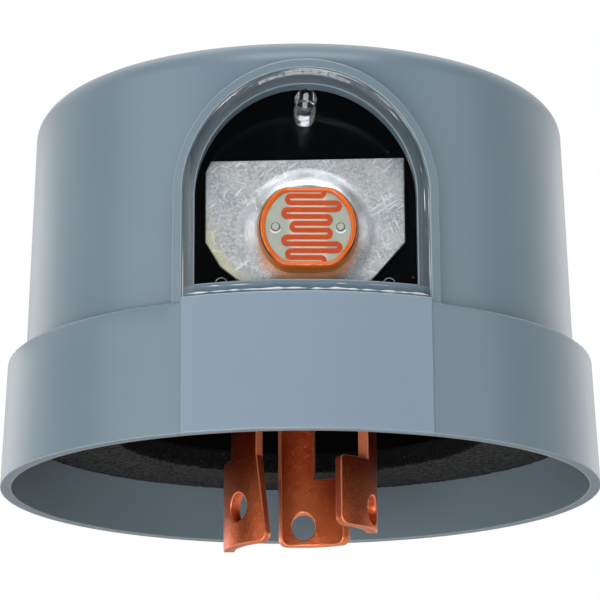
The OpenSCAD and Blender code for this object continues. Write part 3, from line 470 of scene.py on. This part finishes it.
plain_nodes = {
    "blade_rivets": worn_metal("rivet brass", (0.60, 0.46, 0.22), 0.4),
    "sensor_plate_screw": worn_metal("screw zinc", (0.55, 0.55, 0.53), 0.38),
    "cell_track": FILM,
    "lead_bushings": plain_plastic("bushing ceramic", (0.80, 0.77, 0.68), 0.5),
    "lead_splices": plain_plastic("splice sleeve", (0.52, 0.02, 0.015), 0.45),
    "line_wire": worn_metal("drawn copper", (0.60, 0.25, 0.13), 0.35),
    "arm_rivets": BRASS,
    "moving_contact": worn_metal("contact silver", (0.78, 0.78, 0.76), 0.25),
    "heater": plain_plastic("heater glaze", (0.10, 0.15, 0.11), 0.25),
    "heater_leads": TINNED,
    "surge_arrester": plain_plastic("arrester dip", (0.02, 0.07, 0.27), 0.25),
    "arrester_leads": TINNED,
    "cell_leads": plain_plastic("soldered pin", (0.52, 0.52, 0.48), 0.2),
}
plain_nodes["fixed_contact"] = plain_nodes["moving_contact"]
for name, material in plain_nodes.items():
    nodes[name].data.materials.clear()
    nodes[name].data.materials.append(material)

# Nodes merged and, where the width in millimetres is not 0, rounded at their sharp edges: (material, width)
edge_widths = {
    "cover": (COVER, 0), "window": (WINDOW, 0.12), "base_plate": (BASE, 0.15),
    "barrier_panel": (PANEL, 0.15), "cell_disc": (CELL_FACE, 0.08),
    "line_terminal": (BRASS, 0.12), "load_terminal": (BRASS, 0.12), "neutral_terminal": (BRASS, 0.12),
    "bimetal_arm": (worn_metal("bimetal strip", (0.40, 0.37, 0.33), 0.4), 0.08),
    "heater_clip": (worn_metal("clip spring steel", (0.33, 0.33, 0.33), 0.35), 0.06),
}
for name, (material, width) in edge_widths.items():
    softened(name, width, material)


def foam_ring():
    """Gasket: a rectangular section with rounded corners turned about Z, its points pushed in by seeded noise."""
    turns, corner = 900, 0.35
    arc = np.linspace(0, math.pi / 2, 4)
    r0, r1, z0, z1 = GASKET_BORE_R, GASKET_R - 0.12, 0.02, GASKET_T
    rows = [np.stack([np.linspace(r1 - corner, r0 + corner, 30), np.full(30, z0)], 1),
            np.stack([r0 + corner - corner * np.sin(arc), z0 + corner - corner * np.cos(arc)], 1),
            np.stack([np.full(6, r0), np.linspace(z0 + corner, z1, 6)], 1),
            np.stack([np.linspace(r0, r1, 12), np.full(12, z1)], 1),
            np.stack([np.full(6, r1), np.linspace(z1, z0 + corner, 6)], 1),
            np.stack([r1 - corner + corner * np.cos(arc), z0 + corner - corner * np.sin(arc)], 1)]
    section = np.concatenate(rows)
    section = section[np.r_[True, np.linalg.norm(np.diff(section, axis=0), axis=1) > 1e-6]]
    a = np.linspace(0, 2 * math.pi, turns, endpoint=False)
    r = np.repeat(section[None, :, 0], turns, 0)
    z = np.repeat(section[None, :, 1], turns, 0)
    pits = rng.random((turns, len(section))) ** 2
    pits = (pits + np.roll(pits, 1, 0) + np.roll(pits, 1, 1)) / 3
    face = (z < GASKET_T - 0.3)
    z = z + face * pits * 0.22
    r = r + np.where((r < r0 + 0.5) & face, (pits - 0.2) * 0.35, 0.0)
    verts = np.stack([r * np.cos(a)[:, None], r * np.sin(a)[:, None], z], -1).reshape(-1, 3)
    obj = mesh_object("foam_ring", verts, grid_faces(turns, len(section), True, True)[:, ::-1], FOAM)
    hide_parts("gasket")


def dense(corners, step):
    """Points along a closed outline, at most one step apart, with every corner kept."""
    corners = np.asarray(corners, float)
    ahead = np.roll(corners, -1, 0)
    count = np.maximum(1, np.ceil(np.hypot(*(ahead - corners).T) / step)).astype(int)
    which = np.repeat(np.arange(len(corners)), count)
    share = (np.arange(len(which)) - np.repeat(np.cumsum(count) - count, count)) / count[which]
    return corners[which] + (ahead - corners)[which] * share[:, None]


def quarter(cx, cz, r, start, n=8):
    """Points of a quarter circle, turning clockwise from the start angle in degrees."""
    a = np.radians(start - np.linspace(0, 90, n))
    return np.stack([cx + r * np.cos(a), cz + r * np.sin(a)], 1)


def sheet_piece(name, outline, middle, hole_r, thick, edge, place, material, rings=70):
    """A sheet pierced by one round hole: rays run from the hole to the outline, and the section over each ray is
    front face, round at the rim, back face, round at the hole. place maps (across, up, depth) to a point."""
    ray = outline - middle
    far = np.hypot(*ray.T)
    way = ray / far[:, None]
    bend = np.linspace(0, math.pi / 2, 4)[1:]
    run = np.linspace(0, 1, rings)
    inner, outer = hole_r + edge, far - edge
    r = inner + (outer[:, None] - inner) * run[None, :]
    rim_r = outer[:, None] + edge * np.sin(bend)[None, :]
    rim_d = edge * (1 - np.cos(bend))
    hole = np.repeat((inner - edge * np.sin(bend))[None, ::-1], len(far), 0)
    radius = np.concatenate([hole, r, rim_r, rim_r[:, ::-1], r[:, ::-1], hole[:, ::-1]], 1)
    depth = np.concatenate([rim_d[::-1], np.zeros(rings), rim_d, thick - rim_d[::-1], np.full(rings, thick),
                            thick - rim_d])
    flat = middle + way[:, None, :] * radius[..., None]
    verts = place(flat[..., 0], flat[..., 1], np.broadcast_to(depth, radius.shape))
    obj = mesh_object(name, verts.reshape(-1, 3), grid_faces(len(far), len(depth), True, True), material)
    # Share of the painted highlight that blade_copper puts on the rounds: most next to the faces, less towards the
    # flat sides, none on the faces.
    side = np.array([1.0, 0.8, 0.25])
    edge = np.concatenate([side[::-1], np.zeros(rings), side, side[::-1], np.zeros(rings), side])
    field = obj.data.attributes.new("edge", "FLOAT", "POINT")
    field.data.foreach_set("value", np.tile(edge, len(far)))
    return obj


def embossed_plate():
    """Sensor plate: the sheet stands forward by a smooth step near the cell; its foot is a strip bent back on the
    base."""
    half, low, tongue, cut_w, cut_h = 12.98, CELL_Z - 7.1, 6.0, 4.9, 5.75
    left_top, right_top = low + 16.8, low + 17.38
    outline = dense(np.concatenate([
        [(half, right_top), (half, low + cut_h), (half - cut_w, low)],
        [(tongue, low), (tongue, BASE_TOP + 0.4), (-tongue, BASE_TOP + 0.4), (-tongue, low)],
        [(-half + cut_w, low), (-half + 1.9, low + 0.5 * cut_h - 0.4), (-half, low + cut_h)],
        [(-half, left_top - 1.5), (-half + 0.7, left_top)]]), 0.2)
    middle = np.array([CELL_X, CELL_Z])

    def place(x, z, depth):
        r = np.hypot(x - CELL_X, z - CELL_Z)
        ease = np.clip((r - 6.0) / (9.0 - 6.0), 0, 1)
        raised = 1 - ease * ease * (3 - 2 * ease)
        return np.stack([x, -(PLATE_Y + (PAD_Y - PLATE_Y) * raised - depth), z], -1)

    obj = sheet_piece("embossed_plate", outline, middle, 0.5, 0.8, 0.12, place, PLATE, 62)
    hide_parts("sensor_plate")
    bend = np.linspace(0, math.pi / 2, 8)
    back = -PLATE_Y + 0.8
    y = np.concatenate([back - 0.8 * np.cos(bend), [back + 10.0, back + 10.0], back - 0.02 * np.cos(bend[::-1])])
    z = np.concatenate([BASE_TOP + 0.8 - 0.8 * np.sin(bend), [BASE_TOP, BASE_TOP + 0.8],
                        BASE_TOP + 0.82 - 0.02 * np.sin(bend[::-1])])
    x = np.array([-tongue, -tongue + 0.1, tongue - 0.1, tongue])
    foot = np.stack(np.broadcast_arrays(x[:, None], y[None, :], z[None, :]), -1)
    ends = [list(range(len(y)))[::-1], list(range(3 * len(y), 4 * len(y)))]
    faces = grid_faces(len(x), len(y), False, True).tolist() + ends
    mesh_object("plate_foot", foot.reshape(-1, 3), faces, PLATE)


def hooked_blade(node, az, tip, widening):
    """Blade: strip, hooked foot and detent hole drawn on the unrolled ring, then wrapped round it; the tab that is
    riveted to the base is a flat sector with a round hole."""
    outer_r, inner_r, foot_top = 10.8, 9.2, -4.3
    arc = math.radians(1) * outer_r
    left, right = -14.5 * arc, 14.5 * arc
    hook, low, corner = left - 30 * arc, -tip, 1.2
    flare = right + widening * arc
    slope = (flare - right) / (foot_top - low)
    shoulder = [(right, foot_top)] if widening else []
    outline = dense(np.concatenate([
        [(left, 7.7), (right, 7.7)], np.reshape(shoulder, (-1, 2)),
        quarter(flare - corner - slope * corner, low + corner, corner, 0),
        quarter(hook + corner, low + corner, corner, -90),
        quarter(hook + 0.6, foot_top - 0.6, 0.6, 180),
        [(left, foot_top)]]), 0.25)
    middle = np.array([-5.5 * arc, -11.2])

    def place(across, up, depth):
        a = math.radians(az) + across / outer_r
        r = outer_r - depth
        return np.stack([r * np.cos(a), r * np.sin(a), up], -1)

    obj = sheet_piece(node + "_curved", outline, middle, 1.95, outer_r - inner_r, 0.22, place, COPPER)
    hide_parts(node)
    tab = dense([(10.9, left + 0.02), (16.98, left * 16.98 / outer_r), (16.98, right * 16.98 / outer_r),
                 (10.9, right - 0.02)], 0.3)

    def lay(r, across, depth):
        a = math.radians(az) + across / r
        return np.stack([r * np.cos(a), r * np.sin(a), 7.8 - depth], -1)

    sheet_piece(node + "_tab", tab[::-1], np.array([13.9, 0.0]), 1.45, 1.6, 0.15, lay, COPPER, 12)


def flatted_path(r, half, n=240):
    """Points round a circle of radius r whose upper and lower parts are cut to level flats at half, with outward
    normals, both smoothed along the path."""
    a = np.linspace(0, 2 * math.pi, n, endpoint=False)
    x, z = r * np.cos(a), np.clip(r * np.sin(a), -half, half)
    flat = np.abs(r * np.sin(a)) > half
    nx, nz = np.where(flat, 0.0, np.cos(a)), np.where(flat, np.sign(z), np.sin(a))
    soft = np.array([0.06, 0.24, 0.4, 0.24, 0.06])
    for _ in range(12):
        nx = sum(w * np.roll(nx, k - 2) for k, w in enumerate(soft))
        nz = sum(w * np.roll(nz, k - 2) for k, w in enumerate(soft))
        x = sum(w * np.roll(x, k - 2) for k, w in enumerate(soft))
        z = sum(w * np.roll(z, k - 2) for k, w in enumerate(soft))
    size = np.hypot(nx, nz)
    return x, z, nx / size, nz / size


def epoxy_rim():
    """Coat of the cell: a section (foot, skirt, round lip, slope down to the face) carried round the flatted disc."""
    x, z, nx, nz = flatted_path(DISC_R, DISC_HALF)
    out = np.array([0.02, 0.42, COAT_W + 0.40, COAT_W + 0.22, COAT_W + 0.06, COAT_W * 0.86, 0.50, 0.22, 0.04, -0.06,
                    -0.02])
    front = np.array([PAD_Y, PAD_Y, PAD_Y + 0.02, PAD_Y + 0.35, PAD_Y + 0.95, COAT_Y - 0.28, COAT_Y - 0.03,
                      COAT_Y - 0.06, COAT_Y - 0.22, DISC_Y + 0.1, DISC_Y + 0.02])
    wave = 1 + 0.05 * np.sin(3 * np.linspace(0, 2 * math.pi, len(x), endpoint=False) + 0.6)
    o = out[None, :] * np.where(out[None, :] > 0.3, wave[:, None], 1.0)
    verts = np.stack([CELL_X + x[:, None] + nx[:, None] * o, -np.repeat(front[None, :], len(x), 0),
                      CELL_Z + z[:, None] + nz[:, None] * o], -1).reshape(-1, 3)
    obj = mesh_object("epoxy_rim", verts, grid_faces(len(x), len(out), True, True)[:, ::-1], EPOXY)
    field = obj.data.attributes.new("out", "FLOAT", "POINT")
    field.data.foreach_set("value", np.tile(out, len(x)))
    level = obj.modifiers.new("round", "SUBSURF")
    level.levels = level.render_levels = 1
    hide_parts("cell_coat")


def cement_bead(name, x, z, nx, nz, thick, gaps, seed, strokes=6):
    """Bead of cement on the window's face: a small circle carried along a path, wavering in size, broken by gaps."""
    local = np.random.default_rng(seed)
    n, m = len(x), 8
    t = np.linspace(0, 1, n)
    knots = np.linspace(0, 1, n // strokes)
    waver = np.interp(t, knots, local.random(len(knots)))
    size = thick * np.clip((waver - gaps) / (1 - gaps), 0.03, 1)
    lift = 0.12 * np.interp(t, knots[::3], local.random(len(knots[::3])) - 0.5)
    a = np.linspace(0, 2 * math.pi, m, endpoint=False)
    across = lift[:, None] + size[:, None] * np.cos(a)
    y = -np.sqrt((REBATE_R + 1.52) ** 2 - x ** 2)
    verts = np.stack([x[:, None] + nx[:, None] * across, y[:, None] - size[:, None] * np.sin(a),
                      z[:, None] + nz[:, None] * across], -1)
    mesh_object(name, verts.reshape(-1, 3), grid_faces(n, m, False, True), CEMENT)


def cement_lines():
    """Cement along the sill and round the arch, at the joint between the window and its frame."""
    x = np.linspace(-15.8, 15.8, 240)
    flat, up = np.zeros_like(x), np.ones_like(x)
    cement_bead("cement_sill", x, SILL_Z + 0.58 + flat, flat, up, 0.24, 0.06, 3, 6)
    part = slice(20, 200)
    cement_bead("cement_sill_upper", x[part], SILL_Z + 1.35 + flat[part], flat[part], up[part], 0.09, 0.5, 8, 9)
    a = np.linspace(math.pi, 0, 300)
    r = REBATE_ARCH_R - 0.16
    leg = np.linspace(SILL_Z + 0.3, ARCH_Z, 80, endpoint=False)
    one = np.ones_like(leg)
    x = np.concatenate([-r * one, r * np.cos(a), r * one])
    z = np.concatenate([leg, ARCH_Z + r * np.sin(a), leg[::-1]])
    nx = np.concatenate([one, -np.cos(a), -one])
    nz = np.concatenate([0 * one, -np.sin(a), 0 * one])
    cement_bead("cement_arch", x, z, nx, nz, 0.085, 0.35, 5, 17)
    part = slice(300, 440)
    cement_bead("cement_arch_inner", x[part] + 0.55 * nx[part], z[part] + 0.55 * nz[part], nx[part], nz[part],
                0.08, 0.45, 12, 9)


def bright_ring(name, x, depth, z, r, tube, start=0.0, sweep=360.0, low=1.0, material=None):
    """Ring about Y, or part of one: a small circle carried round a circle, fuller at its lower side by the share
    low."""
    a = np.radians(np.linspace(start, start + sweep, 60))
    b = np.linspace(0, 2 * math.pi, 8, endpoint=False)
    size = (tube * (1 - low + low * (0.25 + 0.75 * np.clip(-np.sin(a), 0, 1))))[:, None]
    ring = r + size * np.cos(b)
    verts = np.stack([x + ring * np.cos(a)[:, None], -depth - size * np.sin(b), z + ring * np.sin(a)[:, None]], -1)
    mesh_object(name, verts.reshape(-1, 3), grid_faces(60, 8, False, True), material or GLINT)


def bright_rings():
    """Clear rims of the peg, rims of the panel's pips painted pale as a highlight, the solder round the pins painted
    near white as a glint, and a dark ring painted as the shade in the clearance round the pins.
    """
    bright_ring("peg_near_edge", 0, REBATE_R - 0.25, PEG_Z, 1.40, 0.10, low=0.7,
                material=WINDOW)
    bright_ring("peg_far_edge", 0, PANEL_Y + 0.4, PEG_Z, 1.38, 0.13, low=0.8,
                material=WINDOW)
    for side in (-1, 1):
        pin_x = CELL_X + side * 4.2
        # Painted highlight: pale half rings on the upper rims of the pips.
        bright_ring("pip_rim_highlight_%d" % side, side * 10.9, PANEL_Y + 0.6, CELL_Z - 6.7, 0.76, 0.07,
                    20, 140, 0)
        # Solder at the foot of each pin, painted near white as a glint.
        bright_ring("pin_solder_glint_%d" % side, pin_x, DISC_Y + 0.02, CELL_Z - 0.1, 0.72, 0.14, 205, 130,
                    material=SOLDER)
        # Painted shade: a dark ring standing in for the shade in the clearance round each pin.
        bright_ring("pin_shade_%d" % side, pin_x, DISC_Y, CELL_Z, 0.53, 0.055, low=0, material=PANEL)


foam_ring()
embossed_plate()
hooked_blade("neutral_blade", 220.0, 16.5, 9.0)
hooked_blade("line_blade", 344.5, 14.0, 0.0)
hooked_blade("load_blade", 91.5, 14.0, 0.0)
epoxy_rim()
cement_lines()
bright_rings()


# Camera, set to the angle, distance and focal length fitted to the photo

def aim_camera():
    """Camera axes from yaw, pitch and roll, turned so that the window's middle faces -Y."""
    yaw, pitch, roll, turn = 0.0132, 0.2630, -0.0049, math.radians(-0.65)
    ahead = Vector((math.sin(yaw) * math.cos(pitch), math.cos(yaw) * math.cos(pitch), math.sin(pitch)))
    right = Vector((math.cos(yaw), -math.sin(yaw), 0))
    up = right.cross(ahead)
    right, up = (math.cos(roll) * right + math.sin(roll) * up, -math.sin(roll) * right + math.cos(roll) * up)
    spin = Matrix.Rotation(turn, 3, "Z")
    place = spin @ Vector((-4.893, -376.48, -73.40)) + Vector((0, 0, RIM_Z))
    axes = Matrix((spin @ right, spin @ up, -(spin @ ahead))).transposed()
    data = bpy.data.cameras.new("camera")
    data.sensor_width = 36
    data.lens = 2721.7 * 36 / 600
    data.clip_start = 0.01
    obj = bpy.data.objects.new("camera", data)
    obj.matrix_world = Matrix.Translation(place * mm) @ axes.to_4x4()
    bpy.context.scene.collection.objects.link(obj)
    bpy.context.scene.camera = obj


aim_camera()


# Studio: a pale floor below, white surroundings and broad soft lights

def soft_light(name, place, size, power, target=(0, 0, 0.015)):
    data = bpy.data.lights.new(name, "AREA")
    data.shape = "RECTANGLE"
    data.size, data.size_y = size
    data.energy = power
    obj = bpy.data.objects.new(name, data)
    obj.location = place
    obj.rotation_euler = (Vector(target) - Vector(place)).to_track_quat("-Z", "Y").to_euler()
    bpy.context.scene.collection.objects.link(obj)


soft_light("left", (-0.55, -0.30, 0.16), (0.40, 0.45), 0.82)
soft_light("right", (0.56, -0.28, 0.16), (0.35, 0.40), 0.50)
soft_light("above front", (0.0, -0.42, 0.50), (0.5, 0.3), 1.9)
soft_light("top", (0.0, 0.05, 0.6), (0.6, 0.6), 0.9)
soft_light("back left", (-0.52, 0.60, 0.06), (0.45, 0.5), 0.62)
soft_light("back right", (0.52, 0.60, 0.06), (0.45, 0.5), 0.50)
soft_light("low front", (-0.16, -0.54, -0.20), (0.5, 0.14), 1.5, (0, 0, 0))


def studio():
    """World that is white behind the object and dim behind the camera, and a pale floor well below the blades."""
    world = bpy.data.worlds.new("studio")
    bpy.context.scene.world = world
    world.use_nodes = True
    s = Shade(world.node_tree)
    back = world.node_tree.nodes["Background"]
    path = s.add("ShaderNodeLightPath")
    seen = s.math("MAXIMUM", path.outputs["Is Camera Ray"],
                  s.math("MAXIMUM", path.outputs["Is Glossy Ray"], path.outputs["Is Transmission Ray"]))
    back.inputs["Color"].default_value = (1, 1, 1, 1)
    way = s.add("ShaderNodeSeparateXYZ", {"Vector": s.add("ShaderNodeTexCoord").outputs["Generated"]})
    behind = s.math("MULTIPLY_ADD", s.band(way.outputs["Y"], -0.05, 0.55), 0.985, 0.015)
    bright = s.math("MAXIMUM", path.outputs["Is Camera Ray"], s.math("MULTIPLY", seen, behind))
    s.tree.links.new(s.math("MAXIMUM", bright, s.math("MULTIPLY", s.math("SUBTRACT", 1.0, seen), 0.35)),
                     back.inputs["Strength"])
    mat, s, shader, co = finish_of("floor pale", Roughness=0.8)
    link(s, shader, Base_Color=s.mix(s.noise(co, 4.0), (0.80, 0.80, 0.80), (0.84, 0.84, 0.84)))
    mesh = bpy.data.meshes.new("floor")
    mesh.from_pydata([(-3, -3, -0.30), (3, -3, -0.30), (3, 3, -0.30), (-3, 3, -0.30)], [], [(0, 1, 2, 3)])
    mesh.materials.append(mat)
    floor = bpy.data.objects.new("floor", mesh)
    bpy.context.scene.collection.objects.link(floor)


studio()
bpy.context.scene.view_settings.view_transform = "Standard"
